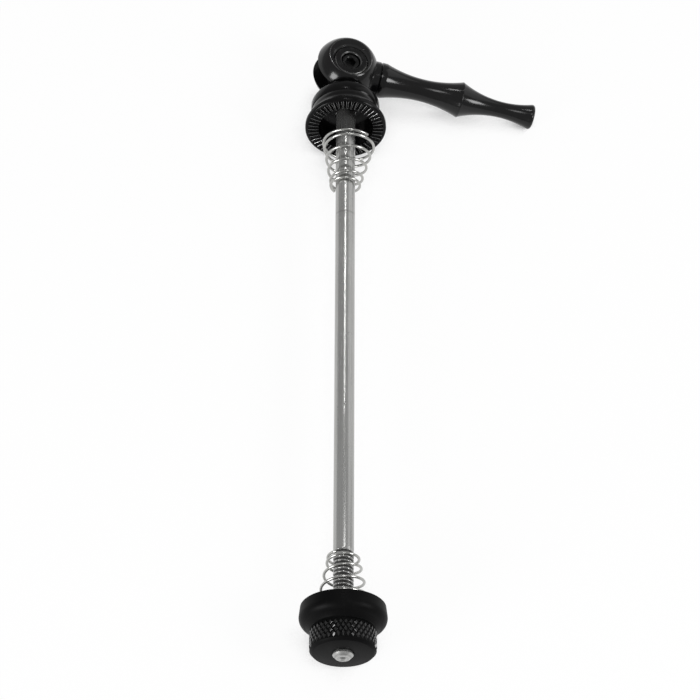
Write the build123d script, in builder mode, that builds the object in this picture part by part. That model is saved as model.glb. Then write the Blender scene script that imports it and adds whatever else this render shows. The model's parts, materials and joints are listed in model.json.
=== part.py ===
from build123d import *
import os
from math import asin, atan2, cos, hypot, pi, radians, sin, sqrt

# Quick release skewer lying on a table: the rod runs along Y with the lever at the +Y end,
# and the open lever points to +X. Lengths are in millimetres and angles in degrees.

# Rod and the barrel that it turns in
rod_diameter = 5.0
rod_length = 170.3
rod_tip_chamfer = 0.9
barrel_diameter = 9.0
barrel_length = 12.2
barrel_edge = 0.35
barrel_wall_behind_rod = 0.9
lock_screw_diameter = 5.0
lock_screw_length = 3.0
lock_screw_socket = 2.5
lock_screw_socket_depth = 1.6

# Ball end of the lever, which is the cam
ball_diameter = 17.2
ball_flat_width = 12.6
cam_offset = 1.1
cam_angle = 104.0
slot_wall = 4.8
bore_edge = 0.45
boss_diameter = 9.3
boss_reach = 8.8
seam_edge = 0.25

# Handle, turned, with two waists
collar_width = 1.5
handle_offset = 0.6
waist_diameter = 5.95
waist_reach = 20.6
ridge_diameter = 9.5
ridge_reach = 31.3
neck_diameter = 4.3
neck_reach = 42.2
tip_diameter = 6.6
tip_width = 0.9
handle_reach = 51.5
tip_edge = 0.6
stud_diameter = 4.0
stud_length = 2.4

# Pose of the open lever and of the loose washer
open_lean = 6.7
washer_tilt = 10.0
washer_face_at = 17.95

# Toothed washer and the cup that the ball turns in, measured back from the washer's toothed face
washer_diameter = 21.1
washer_rim_edge = 0.3
washer_rim_width = 1.6
washer_collar_width = 4.4
washer_width = 5.8
washer_bore = 8.8
washer_recess_diameter = 14.2
washer_recess_depth = 4.4
cup_diameter = 17.9
cup_seam_edge = 0.3
cup_shoulder_back = 8.4
cup_lip_diameter = 14.0
cup_lip_back = 10.6
ball_centre_back = 17.1
shoulder_bulge = 0.68

# Clamp nut, measured along the rod from its toothed face
nut_gap = 139.0
nut_length = 12.0
nut_face_diameter = 20.5
nut_flange_diameter = 21.1
nut_flange_at = 2.8
nut_shoulder_diameter = 18.0
nut_shoulder_at = 5.0
nut_grip_diameter = 16.0
nut_grip_at = 5.9
nut_end_chamfer = 0.7
nut_recess_diameter = 15.0
nut_recess_depth = 2.4

# Radial teeth of both clamping faces
tooth_count = 45
tooth_gap = 0.8
tooth_depth = 0.5
tooth_rim_width = 0.45

# Conical springs
wire_diameter = 0.7
spring_large_diameter = 13.8
spring_small_diameter = 8.2
lever_spring_height = 13.6
nut_spring_height = 15.2
lever_spring_turns = 5.5
nut_spring_turns = 5.8
spring_closed_turn = 0.9
spring_stand_off = 4.15
spring_gap = 0.15
spring_ease = 0.2
spring_sway = 0.9
lever_spring_end_angle = 47.0
nut_spring_end_angle = 52.0
spring_points_per_turn = 16

# Clearances
thread_clearance = 0.03
running_clearance = 0.05
slot_clearance = 0.3
seat_clearance = 0.35
spring_clearance = 0.25

# The nut's flange and the handle's tip both touch the table, which sets the roll about the rod
rod_height = nut_flange_diameter / 2
tip_reach = handle_reach - tip_width
droop = asin(rod_height / hypot(tip_reach, tip_diameter / 2)) - atan2(tip_diameter / 2, tip_reach)
roll = asin(sin(droop) / cos(radians(open_lean)))
lean = radians(open_lean)
tilt = radians(washer_tilt)
cam = radians(cam_angle)

rod_direction = Vector(0, -1, 0)
swing_axis = Vector(sin(roll), 0, cos(roll))
across = Vector(cos(roll), 0, -sin(roll))
handle_direction = across * cos(lean) + rod_direction * sin(lean)

# The origin is on the table, under the middle of the skewer's box, which reaches from the washer's
# rim to the handle's end and from the rod's tip to the ball's cheeks
slot_width = rod_diameter + 2 * slot_clearance
tip_end_radius = tip_diameter / 2 - tip_edge
handle_side = handle_reach * handle_direction.X + tip_end_radius * sqrt(1 - handle_direction.X**2)
ball_side = cam_offset * sin(cam - lean) + sqrt((ball_diameter / 2) ** 2 - (slot_width / 2) ** 2)
pivot = Vector((washer_diameter / 2 - handle_side) / 2, (rod_length - ball_side) / 2, rod_height)

rod_plane = Plane(origin=pivot, x_dir=(1, 0, 0), z_dir=rod_direction)
lever_plane = Plane(origin=pivot, x_dir=handle_direction, z_dir=swing_axis)
ball_centre = lever_plane.from_local_coords(Vector(cam_offset * cos(cam), cam_offset * sin(cam), 0))
ball_plane = Plane(origin=ball_centre, x_dir=handle_direction, z_dir=swing_axis)
handle_start = pivot - rod_direction * handle_offset
handle_plane = Plane(origin=handle_start, x_dir=handle_direction, z_dir=swing_axis)
boss_plane = Plane(origin=handle_start, x_dir=swing_axis, z_dir=handle_direction)
# The loose washer leans back with its rim on the table
washer_height = washer_diameter / 2 * cos(tilt) + (washer_rim_width - washer_rim_edge) * sin(tilt)
washer_face_centre = Vector(pivot.X, pivot.Y - washer_face_at, washer_height)
washer_plane = Plane(origin=washer_face_centre, x_dir=(1, 0, 0), z_dir=(0, -cos(tilt), sin(tilt)))
nut_face_at = washer_face_at + nut_gap
nut_plane = rod_plane.offset(nut_face_at)


def turning_plane(plane):
    """Plane for a turned profile: its X is the radius and its Y runs along the axis of plane."""
    return Plane(origin=plane.origin, x_dir=plane.x_dir, z_dir=-plane.y_dir)


def turning_axis(plane):
    """Axis along the normal of plane."""
    return Axis(plane.origin, plane.z_dir)


def tooth_gap_planes(plane, inner_radius):
    """One plane for each gap between teeth: X is the face's outward normal, Z runs outwards."""
    planes = []
    for index in range(tooth_count):
        angle = 2 * pi * index / tooth_count
        outwards = plane.x_dir * cos(angle) + plane.y_dir * sin(angle)
        start = plane.origin + outwards * (inner_radius - tooth_gap / 2)
        planes.append(Plane(origin=start, x_dir=plane.z_dir, z_dir=outwards))
    return planes


def tooth_gap_length(inner_radius, face_radius):
    """Length of a gap, which leaves a plain rim around the teeth."""
    return face_radius - tooth_rim_width - inner_radius + tooth_gap / 2


def tooth_gap_outline():
    """Corners of the V between two teeth, open a little above the face."""
    above = tooth_depth / 4
    half = tooth_gap / 2 * (1 + above / tooth_depth)
    return [(above, -half), (-tooth_depth, 0), (above, half)]


# Rod
rod_radius = rod_diameter / 2
rod_head = barrel_diameter / 2 - barrel_wall_behind_rod
with BuildPart() as rod:
    with BuildSketch(turning_plane(rod_plane)):
        with BuildLine():
            Polyline(
                (0, -rod_head),
                (rod_radius, -rod_head),
                (rod_radius, rod_length - rod_tip_chamfer),
                (rod_radius - rod_tip_chamfer, rod_length),
                (0, rod_length),
                close=True,
            )
        make_face()
    revolve(axis=turning_axis(rod_plane))
rod.part.label = "rod"

# Barrel across the lever's ball, with the rod screwed into its side and locked from its end
with BuildPart(lever_plane) as pivot_barrel:
    Cylinder(barrel_diameter / 2, barrel_length)
    chamfer(pivot_barrel.edges().filter_by(GeomType.CIRCLE), barrel_edge)
    with BuildSketch(rod_plane.offset(-rod_head)):
        Circle(rod_radius + thread_clearance)
    extrude(amount=rod_head + barrel_diameter, mode=Mode.SUBTRACT)
    with BuildSketch(lever_plane):
        Circle(lock_screw_diameter / 2 + thread_clearance)
    extrude(amount=barrel_length, mode=Mode.SUBTRACT)
pivot_barrel.part.label = "pivot_barrel"

lock_screw_end = rod_radius + thread_clearance
with BuildPart() as barrel_lock_screw:
    with BuildSketch(lever_plane.offset(lock_screw_end)):
        Circle(lock_screw_diameter / 2)
    extrude(amount=lock_screw_length)
    with BuildSketch(lever_plane.offset(lock_screw_end + lock_screw_length)):
        RegularPolygon(lock_screw_socket / 2, 6, major_radius=False)
    extrude(amount=-lock_screw_socket_depth, mode=Mode.SUBTRACT)
barrel_lock_screw.part.label = "barrel_lock_screw"

# Ball of the lever: flats on both cheeks, bore for the barrel, slot for the rod, boss for the handle
bore_radius = barrel_diameter / 2 + running_clearance
with BuildPart(ball_plane) as cam_ball:
    Sphere(ball_diameter / 2)
    Box(ball_diameter, ball_diameter, ball_flat_width, mode=Mode.INTERSECT)
    with BuildSketch(boss_plane):
        Circle(boss_diameter / 2)
    extrude(amount=boss_reach)
    boss_rim = cam_ball.edges().filter_by(GeomType.CIRCLE).sort_by(turning_axis(boss_plane))[-1]
    chamfer(boss_rim, seam_edge)
    with BuildSketch(lever_plane.offset(-slot_width / 2)):
        with Locations((slot_wall - ball_diameter / 2, 0)):
            Rectangle(ball_diameter, 2 * ball_diameter)
    extrude(amount=slot_width, mode=Mode.SUBTRACT)
    with BuildSketch(lever_plane.offset(-ball_flat_width)):
        Circle(bore_radius)
    extrude(amount=2 * ball_flat_width, mode=Mode.SUBTRACT)
    for side in (1, -1):
        cheek = lever_plane.offset(side * ball_flat_width / 2)
        with BuildSketch(turning_plane(cheek)):
            with BuildLine():
                Polyline(
                    (0, 0),
                    (bore_radius + bore_edge, 0),
                    (bore_radius, -side * bore_edge),
                    (0, -side * bore_edge),
                    close=True,
                )
            make_face()
        revolve(axis=turning_axis(cheek), mode=Mode.SUBTRACT)
    with BuildSketch(boss_plane.offset(boss_reach)):
        Circle(stud_diameter / 2 + thread_clearance)
    extrude(amount=-stud_length, mode=Mode.SUBTRACT)
cam_ball.part.label = "cam_ball"

# Handle, turned about its own length, with a stud that screws into the ball's boss
root_radius = boss_diameter / 2
tip_radius = tip_diameter / 2
with BuildPart() as lever_handle:
    with BuildSketch(handle_plane):
        with BuildLine():
            Polyline(
                (boss_reach - stud_length + thread_clearance, 0),
                (boss_reach - stud_length + thread_clearance, stud_diameter / 2),
                (boss_reach, stud_diameter / 2),
                (boss_reach, root_radius - seam_edge),
                (boss_reach + seam_edge, root_radius),
                (boss_reach + collar_width, root_radius),
            )
            ThreePointArc(
                (boss_reach + collar_width, root_radius),
                (waist_reach, waist_diameter / 2),
                (ridge_reach, ridge_diameter / 2),
            )
            ThreePointArc(
                (ridge_reach, ridge_diameter / 2),
                (neck_reach, neck_diameter / 2),
                (tip_reach, tip_radius),
            )
            Polyline(
                (tip_reach, tip_radius),
                (handle_reach, tip_end_radius),
                (handle_reach, 0),
                (boss_reach - stud_length + thread_clearance, 0),
            )
        make_face()
    revolve(axis=turning_axis(boss_plane))
lever_handle.part.label = "lever_handle"

# Cup with a round seat for the ball
seat_radius = ball_diameter / 2 + seat_clearance
washer_bore_radius = washer_bore / 2
cup_radius = cup_diameter / 2


def on_seat(angle):
    """Point of the seat's round section at an angle from the cup's axis."""
    return (seat_radius * sin(angle), seat_radius * cos(angle) - ball_centre_back)


lip_depth = ball_centre_back - cup_lip_back
seat_inner = asin(washer_bore_radius / seat_radius)
seat_outer = atan2(sqrt(seat_radius**2 - lip_depth**2), lip_depth)
with BuildPart() as ball_cup:
    with BuildSketch(turning_plane(washer_plane)):
        with BuildLine():
            ThreePointArc(on_seat(seat_inner), on_seat((seat_inner + seat_outer) / 2), on_seat(seat_outer))
            Line(on_seat(seat_outer), (cup_lip_diameter / 2, -cup_lip_back))
            ThreePointArc(
                (cup_lip_diameter / 2, -cup_lip_back),
                (
                    cup_lip_diameter / 2 + shoulder_bulge * (cup_radius - cup_lip_diameter / 2),
                    -(cup_lip_back + cup_shoulder_back) / 2,
                ),
                (cup_radius, -cup_shoulder_back),
            )
            Polyline(
                (cup_radius, -cup_shoulder_back),
                (cup_radius, -washer_width - cup_seam_edge),
                (cup_radius - cup_seam_edge, -washer_width),
                (washer_bore_radius, -washer_width),
                on_seat(seat_inner),
            )
        make_face()
    revolve(axis=turning_axis(washer_plane))
ball_cup.part.label = "ball_cup"

# Toothed washer under the cup, with a recess for the spring
washer_radius = washer_diameter / 2
washer_recess_radius = washer_recess_diameter / 2
with BuildPart() as toothed_washer:
    with BuildSketch(turning_plane(washer_plane)):
        with BuildLine():
            Polyline(
                (washer_bore_radius, -washer_recess_depth),
                (washer_bore_radius, -washer_width),
                (cup_radius - cup_seam_edge, -washer_width),
                (cup_radius, cup_seam_edge - washer_width),
                (cup_radius, -washer_collar_width),
            )
            TangentArc(
                (cup_radius, -washer_collar_width),
                (washer_radius - washer_rim_edge, -washer_rim_width),
                tangent=(0, 1),
            )
            Polyline(
                (washer_radius - washer_rim_edge, -washer_rim_width),
                (washer_radius, washer_rim_edge - washer_rim_width),
                (washer_radius, -washer_rim_edge),
                (washer_radius - washer_rim_edge, 0),
                (washer_recess_radius, 0),
                (washer_recess_radius, -washer_recess_depth),
                (washer_bore_radius, -washer_recess_depth),
            )
        make_face()
    revolve(axis=turning_axis(washer_plane))
    with BuildSketch(*tooth_gap_planes(washer_plane, washer_recess_radius)):
        Polygon(*tooth_gap_outline(), align=None)
    extrude(
        amount=tooth_gap_length(washer_recess_radius, washer_radius - washer_rim_edge),
        mode=Mode.SUBTRACT,
    )
toothed_washer.part.label = "toothed_washer"

# Clamp nut: toothed face, flange with a rounded back, round grip
nut_grip_radius = nut_grip_diameter / 2
nut_face_radius = nut_face_diameter / 2
nut_bore_radius = rod_radius + running_clearance
nut_recess_radius = nut_recess_diameter / 2
with BuildPart() as clamp_nut:
    with BuildSketch(turning_plane(nut_plane)):
        with BuildLine():
            Polyline(
                (nut_bore_radius, nut_length),
                (nut_bore_radius, nut_recess_depth),
                (nut_recess_radius, nut_recess_depth),
                (nut_recess_radius, 0),
                (nut_face_radius, 0),
                (nut_flange_diameter / 2, nut_flange_at),
            )
            TangentArc(
                (nut_flange_diameter / 2, nut_flange_at),
                (nut_shoulder_diameter / 2, nut_shoulder_at),
                tangent=(0, 1),
            )
            Polyline(
                (nut_shoulder_diameter / 2, nut_shoulder_at),
                (nut_grip_radius, nut_grip_at),
                (nut_grip_radius, nut_length - nut_end_chamfer),
                (nut_grip_radius - nut_end_chamfer, nut_length),
                (nut_bore_radius, nut_length),
            )
        make_face()
    revolve(axis=turning_axis(nut_plane))
    nut_teeth_plane = Plane(origin=nut_plane.origin, x_dir=nut_plane.x_dir, z_dir=-nut_plane.z_dir)
    with BuildSketch(*tooth_gap_planes(nut_teeth_plane, nut_recess_radius)):
        Polygon(*tooth_gap_outline(), align=None)
    extrude(amount=tooth_gap_length(nut_recess_radius, nut_face_radius), mode=Mode.SUBTRACT)
clamp_nut.part.label = "clamp_nut"

# Conical springs, closed at both ends, with the small end towards the middle of the rod
wire_radius = wire_diameter / 2
large_radius = (spring_large_diameter - wire_diameter) / 2
small_radius = (spring_small_diameter - wire_diameter) / 2
closed_pitch = wire_diameter + spring_gap


def spring_wire(plane, spring_height, spring_turns):
    """Centre line of a spring: its large coil lies around plane's origin and it narrows along the normal."""
    open_turns = spring_turns - 2 * spring_closed_turn
    closed_rise = closed_pitch * spring_closed_turn
    points = []
    for index in range(round(spring_turns * spring_points_per_turn) + 1):
        turn = min(index / spring_points_per_turn, spring_turns)
        opened = min(max(turn - spring_closed_turn, 0), open_turns) / open_turns
        ease = opened * opened * (3 - 2 * opened)
        blend = opened + (ease - opened) * spring_ease
        closed_share = (turn - opened * open_turns) / (2 * spring_closed_turn)
        height = 2 * closed_rise * closed_share + (spring_height - 2 * closed_rise) * blend
        radius = large_radius + (small_radius - large_radius) * opened
        angle = 2 * pi * turn
        points.append(plane.from_local_coords((radius * cos(angle), radius * sin(angle), height)))
    return Spline(*points)


# The lever's spring hangs on the rod, so its axis lies lower than the rod's, and its large end sways out
spring_drop = small_radius - wire_radius - rod_radius - spring_clearance
lever_spring_at = rod_plane.offset(washer_face_at + spring_stand_off).origin
lever_spring_start = lever_spring_at - Vector(0, 0, spring_drop)
lever_spring_way = rod_direction * lever_spring_height - Vector(spring_sway, 0, 0)
lever_end = radians(lever_spring_end_angle)
lever_spring_plane = Plane(
    origin=lever_spring_start + Vector(spring_sway, 0, 0),
    x_dir=(cos(lever_end), -cos(lever_end) * spring_sway / lever_spring_height, sin(lever_end)),
    z_dir=lever_spring_way,
)
with BuildPart() as lever_spring:
    with BuildLine() as lever_wire:
        spring_wire(lever_spring_plane, lever_spring_height, lever_spring_turns)
    with BuildSketch(Plane(origin=lever_wire.line @ 0, z_dir=lever_wire.line % 0)):
        Circle(wire_radius)
    sweep(path=lever_wire.line, is_frenet=True)
lever_spring.part.label = "lever_spring"

# The nut's spring stands in the nut's recess
nut_spring_centre = nut_plane.offset(nut_recess_depth - spring_clearance - wire_radius).origin
nut_end = radians(nut_spring_end_angle)
nut_spring_plane = Plane(
    origin=nut_spring_centre,
    x_dir=(cos(nut_end), 0, sin(nut_end)),
    z_dir=-rod_direction,
)
with BuildPart() as nut_spring:
    with BuildLine() as nut_wire:
        spring_wire(nut_spring_plane, nut_spring_height, nut_spring_turns)
    with BuildSketch(Plane(origin=nut_wire.line @ 0, z_dir=nut_wire.line % 0)):
        Circle(wire_radius)
    sweep(path=nut_wire.line, is_frenet=True)
nut_spring.part.label = "nut_spring"

os.makedirs("parts", exist_ok=True)
export_step(rod.part, "parts/rod.step")
export_step(pivot_barrel.part, "parts/pivot_barrel.step")
export_step(barrel_lock_screw.part, "parts/barrel_lock_screw.step")
export_step(cam_ball.part, "parts/cam_ball.step")
export_step(lever_handle.part, "parts/lever_handle.step")
export_step(ball_cup.part, "parts/ball_cup.step")
export_step(toothed_washer.part, "parts/toothed_washer.step")
export_step(clamp_nut.part, "parts/clamp_nut.step")
export_step(lever_spring.part, "parts/lever_spring.step")
export_step(nut_spring.part, "parts/nut_spring.step")
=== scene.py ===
"""Looks of the quick release skewer: turned black parts, ground rod, wire springs, studio and camera."""

from __future__ import annotations

import json
import logging
import math
from dataclasses import dataclass
from enum import Enum
from typing import Callable, Sequence, TypeAlias

import bmesh
import bpy
from mathutils import Euler, Matrix, Vector

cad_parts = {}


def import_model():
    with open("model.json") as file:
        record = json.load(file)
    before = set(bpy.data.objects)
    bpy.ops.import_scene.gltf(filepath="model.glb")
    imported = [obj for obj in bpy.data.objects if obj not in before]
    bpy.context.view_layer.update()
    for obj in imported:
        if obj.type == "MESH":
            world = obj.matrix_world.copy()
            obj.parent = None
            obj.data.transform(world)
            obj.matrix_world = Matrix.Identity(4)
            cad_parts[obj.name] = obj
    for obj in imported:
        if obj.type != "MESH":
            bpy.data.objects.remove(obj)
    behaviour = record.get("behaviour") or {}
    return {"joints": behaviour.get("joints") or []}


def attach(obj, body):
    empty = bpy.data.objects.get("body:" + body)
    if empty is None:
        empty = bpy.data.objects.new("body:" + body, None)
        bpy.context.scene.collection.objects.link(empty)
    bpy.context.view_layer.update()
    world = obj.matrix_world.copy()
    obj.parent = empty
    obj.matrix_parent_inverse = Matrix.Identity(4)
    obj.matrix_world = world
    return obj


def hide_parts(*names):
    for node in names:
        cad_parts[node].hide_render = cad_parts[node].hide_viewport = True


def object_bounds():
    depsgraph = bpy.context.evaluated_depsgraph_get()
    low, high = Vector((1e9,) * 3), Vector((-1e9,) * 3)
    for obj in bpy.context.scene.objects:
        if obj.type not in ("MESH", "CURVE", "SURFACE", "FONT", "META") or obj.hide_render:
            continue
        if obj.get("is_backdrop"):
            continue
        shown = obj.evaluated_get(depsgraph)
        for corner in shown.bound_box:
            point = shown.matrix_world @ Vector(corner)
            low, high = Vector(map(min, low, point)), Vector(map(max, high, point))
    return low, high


LOG = logging.getLogger("skewer")
# One millimetre in metres.
MM = 0.001
FULL_TURN = 2 * math.pi
# Edges of a larger angle, in degrees, stay sharp.
SHARP = 32.0
# How far a cutter stands out of what it cuts, in millimetres.
CUTTER_ROOM = 1.0
# The Mix node's colour sockets go by number, because their names repeat.
MIX_COLOURS = (6, 7)
MIX_RESULT = 2
Point: TypeAlias = tuple[float, float]
Triple: TypeAlias = tuple[float, float, float]
NodeValue: TypeAlias = "Socket | float | Sequence[float] | bpy.types.ID"


class Slot(Enum):
    """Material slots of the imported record."""

    ROD = "rod_steel"
    SPRING = "spring_steel"
    BLACK_STEEL = "black_steel"
    BLACK_ALUMINIUM = "black_aluminium"


class Socket:
    """A node's output that takes part in Python arithmetic."""

    def __init__(self, graph: Graph, output: bpy.types.NodeSocket) -> None:
        """Keeps the graph that new nodes go into, and the output itself."""
        self.graph = graph
        self.output = output

    def _maths(self, operation: str, *values: NodeValue) -> Socket:
        """Adds one Math node with its operands in order."""
        return self.graph.add("ShaderNodeMath", {"operation": operation}, dict(enumerate(values)))

    def __add__(self, other: NodeValue) -> Socket:
        """self + other."""
        return self._maths("ADD", self, other)

    __radd__ = __add__

    def __sub__(self, other: NodeValue) -> Socket:
        """self - other."""
        return self._maths("SUBTRACT", self, other)

    def __rsub__(self, other: NodeValue) -> Socket:
        """other - self."""
        return self._maths("SUBTRACT", other, self)

    def __mul__(self, other: NodeValue) -> Socket:
        """self * other."""
        return self._maths("MULTIPLY", self, other)

    __rmul__ = __mul__

    def __truediv__(self, other: NodeValue) -> Socket:
        """self / other."""
        return self._maths("DIVIDE", self, other)

    def __rtruediv__(self, other: NodeValue) -> Socket:
        """other / self."""
        return self._maths("DIVIDE", other, self)

    def remainder(self, other: NodeValue) -> Socket:
        """self modulo other, never negative."""
        return self._maths("FLOORED_MODULO", self, other)

    def floor(self) -> Socket:
        """Rounded down."""
        return self._maths("FLOOR", self)

    def root(self) -> Socket:
        """Square root."""
        return self._maths("SQRT", self)

    def sine(self) -> Socket:
        """Sine of an angle in radians."""
        return self._maths("SINE", self)

    def cosine(self) -> Socket:
        """Cosine of an angle in radians."""
        return self._maths("COSINE", self)

    def clamped(self) -> Socket:
        """The value held between 0 and 1."""
        return self._maths("MINIMUM", self._maths("MAXIMUM", self, 0.0), 1.0)

    def smooth(self, low: float, high: float) -> Socket:
        """Rises smoothly from 0 at low to 1 at high."""
        values = {"Value": self, "From Min": low, "From Max": high}
        return self.graph.add("ShaderNodeMapRange", {"interpolation_type": "SMOOTHSTEP"}, values)


class Graph:
    """Adds nodes to a shader or geometry tree."""

    def __init__(self, tree: bpy.types.NodeTree) -> None:
        """Keeps the tree that the nodes go into."""
        self.tree = tree

    def node(self, kind: str, settings: dict | None = None, values: dict | None = None) -> bpy.types.Node:
        """Adds a node.

        Args:
            kind: The node's type.
            settings: Properties of the node, which are set first.
            values: Socket names or numbers to constants or sockets.

        Returns:
            The new node.
        """
        node = self.tree.nodes.new(kind)
        for name, value in (settings or {}).items():
            setattr(node, name, value)
        for key, value in (values or {}).items():
            if isinstance(value, Socket):
                self.tree.links.new(value.output, node.inputs[key])
            else:
                node.inputs[key].default_value = value
        return node

    def add(
        self, kind: str, settings: dict | None = None, values: dict | None = None, output: str | int = 0
    ) -> Socket:
        """Adds a node, as node() does, and gives one of its outputs."""
        return Socket(self, self.node(kind, settings, values).outputs[output])

    def place(self, scale: Sequence[float]) -> Socket:
        """Object coordinates stretched by factors along X, Y and Z."""
        spot = self.add("ShaderNodeTexCoord", output="Object")
        return self.add("ShaderNodeMapping", None, {"Vector": spot, "Scale": scale})

    def noise(self, scale: Sequence[float], detail: float) -> Socket:
        """Noise between 0 and 1, by its grains per metre along X, Y and Z and its octaves."""
        values = {"Vector": self.place(scale), "Scale": 1.0, "Detail": detail}
        return self.add("ShaderNodeTexNoise", None, values)

    def blend(self, factor: Socket, dark: NodeValue, light: NodeValue) -> Socket:
        """The dark colour where the factor is 0, the light one where it is 1, and mixed between."""
        shades = [shade if isinstance(shade, Socket) else (*shade, 1.0) for shade in (dark, light)]
        values = {"Factor": factor, **dict(zip(MIX_COLOURS, shades))}
        return self.add("ShaderNodeMix", {"data_type": "RGBA"}, values, MIX_RESULT)

    def bump(self, height: Socket, strength: float, distance: float) -> Socket:
        """A normal that follows a height between 0 and 1, whose depth is in metres."""
        values = {"Height": height, "Strength": strength, "Distance": distance}
        return self.add("ShaderNodeBump", None, values)


@dataclass(frozen=True)
class Finish:
    """A surface finish, which becomes one material; noise scales are in grains per metre."""

    name: str
    dark: Triple
    light: Triple
    roughness: float
    specular: float = 0.5
    metallic: float = 0.0
    bump_strength: float = 0.12
    bump_depth: float = 0.00002

    def shade(self, graph: Graph) -> dict[str, NodeValue]:
        """Values of the shader's sockets that vary over the surface; each finish gives its own."""
        raise NotImplementedError

    def material(self) -> bpy.types.Material:
        """Makes the material.

        Returns:
            The new material.
        """
        material = bpy.data.materials.new(self.name)
        material.use_nodes = True
        material.node_tree.nodes.clear()
        graph = Graph(material.node_tree)
        values = {"Metallic": self.metallic, "Specular IOR Level": self.specular, **self.shade(graph)}
        shader = graph.add("ShaderNodeBsdfPrincipled", None, values)
        graph.node("ShaderNodeOutputMaterial", None, {"Surface": shader})
        return material


@dataclass(frozen=True)
class BlackAnodised(Finish):
    """Turned aluminium, anodised black: near-black with a satin grain and faint handling marks."""

    grain_scale: Triple = (5200.0, 5200.0, 5200.0)
    cloud_scale: Triple = (180.0, 180.0, 180.0)
    mark_scale: Triple = (1500.0, 260.0, 900.0)
    mark_band: Point = (0.56, 0.72)
    cloud_tone: float = 0.7
    mark_tone: float = 0.5
    cloud_rough: float = 0.12
    grain_rough: float = 0.1
    mark_rough: float = 0.05

    def shade(self, graph: Graph) -> dict[str, NodeValue]:
        """Gives the satin grain, the cloudy depth of the dye and the marks of handling.

        Args:
            graph: The material's tree.

        Returns:
            Socket names to values.
        """
        grain = graph.noise(self.grain_scale, detail=3.0)
        cloud = graph.noise(self.cloud_scale, detail=4.0)
        marks = graph.noise(self.mark_scale, detail=5.0).smooth(*self.mark_band)
        tone = (cloud * self.cloud_tone + marks * self.mark_tone).clamped()
        rough = self.roughness + (cloud - 0.5) * self.cloud_rough + (grain - 0.5) * self.grain_rough
        return {
            "Base Color": graph.blend(tone, self.dark, self.light),
            "Roughness": rough + marks * self.mark_rough,
            "Normal": graph.bump(grain, self.bump_strength, self.bump_depth),
        }


@dataclass(frozen=True)
class BlackedSteel(Finish):
    """Machined steel with a fine grain, chemically blackened, and in its bright variants rubbed metal on
    edges that is partly a painted highlight.
    """

    bump_strength: float = 0.15
    grain_scale: Triple = (4200.0, 4200.0, 4200.0)
    rub_scale: Triple = (650.0, 650.0, 650.0)
    rub_band: Point = (0.5, 0.75)
    grain_rough: float = 0.16

    def shade(self, graph: Graph) -> dict[str, NodeValue]:
        """Gives a fine turned grain with rubbed patches.

        Args:
            graph: The material's tree.

        Returns:
            Socket names to values.
        """
        grain = graph.noise(self.grain_scale, detail=3.0)
        rubbed = graph.noise(self.rub_scale, detail=5.0).smooth(*self.rub_band)
        return {
            "Base Color": graph.blend(rubbed, self.dark, self.light),
            "Roughness": self.roughness + (grain - 0.5) * self.grain_rough,
            "Normal": graph.bump(grain, self.bump_strength, self.bump_depth),
        }


@dataclass(frozen=True)
class GroundSteel(Finish):
    """Rod steel, ground along its length, with painted shade in the thread's roots and the tip's centre
    dimple, and a turned tip; lengths in metres.
    """

    bump_depth: float = 0.00003
    axis: Point = (0.0, 0.0)
    # Radii below which the thread's roots and the tip's centre dimple get painted shade.
    groove: Point = (0.00218, 0.00244)
    dimple: Point = (0.0004, 0.0009)
    tip: Point = (-0.0892, -0.0886)
    ring_at: float = 0.03525
    ring_width: float = 0.0003
    ring_tone: float = 0.6
    turning: float = 9000.0
    turning_tone: float = 0.35
    line_scale: Triple = (5200.0, 70.0, 5200.0)
    line_tone: float = 0.55
    line_rough: float = 0.1
    cloud_scale: Triple = (420.0, 60.0, 420.0)
    cloud_tone: float = 0.5
    pit_scale: Triple = (1900.0, 1100.0, 1900.0)
    pit_band: Point = (0.70, 0.76)
    pit_tone: float = 0.9
    pit_rough: float = 0.2
    pit_sink: float = 0.5
    # Painted shade in the thread's roots and the centre dimple: its near-black colour, its share, the
    # roughness it adds, and its share in the dimple.
    painted_shade_colour: Triple = (0.02, 0.02, 0.02)
    painted_shade_cover: float = 0.88
    painted_shade_rough: float = 0.15
    dimple_painted_shade: float = 0.8

    def shade(self, graph: Graph) -> dict[str, NodeValue]:
        """Gives lines along the rod, tarnish, small pits, one fine ring, the tip's marks, and painted shade
        in the thread's roots and the centre dimple.

        Args:
            graph: The material's tree.

        Returns:
            Socket names to values.
        """
        spot = graph.node("ShaderNodeSeparateXYZ", None, {0: graph.place((1.0, 1.0, 1.0))})
        x, y, z = (Socket(graph, output) for output in spot.outputs)
        side, height = x - self.axis[0], z - self.axis[1]
        out = (side * side + height * height).root()
        shank = y.smooth(*self.tip)
        # Painted shade: darker in the thread's roots, and in the tip's centre dimple.
        painted_shade = (1.0 - out.smooth(*self.groove)) * shank
        painted_shade = painted_shade + (1.0 - out.smooth(*self.dimple)) * (1.0 - shank) * self.dimple_painted_shade
        turned = (out * self.turning).sine() * (1.0 - shank) * self.turning_tone
        lines = graph.noise(self.line_scale, detail=3.0)
        cloud = graph.noise(self.cloud_scale, detail=4.0)
        pits = graph.noise(self.pit_scale, detail=2.0).smooth(*self.pit_band)
        off_ring = (y - self.ring_at) / self.ring_width
        ring = 1.0 - (off_ring * off_ring).smooth(0.0, 1.0)
        tone = lines * self.line_tone + cloud * self.cloud_tone - pits * self.pit_tone
        tone = (tone + turned - ring * self.ring_tone).clamped()
        steel = graph.blend(tone, self.dark, self.light)
        rough = self.roughness + (lines - 0.5) * self.line_rough + pits * self.pit_rough
        relief = lines - pits * self.pit_sink - ring
        return {
            "Base Color": graph.blend(painted_shade * self.painted_shade_cover, steel, self.painted_shade_colour),
            "Roughness": rough + painted_shade * self.painted_shade_rough,
            "Normal": graph.bump(relief, self.bump_strength, self.bump_depth),
        }


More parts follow.
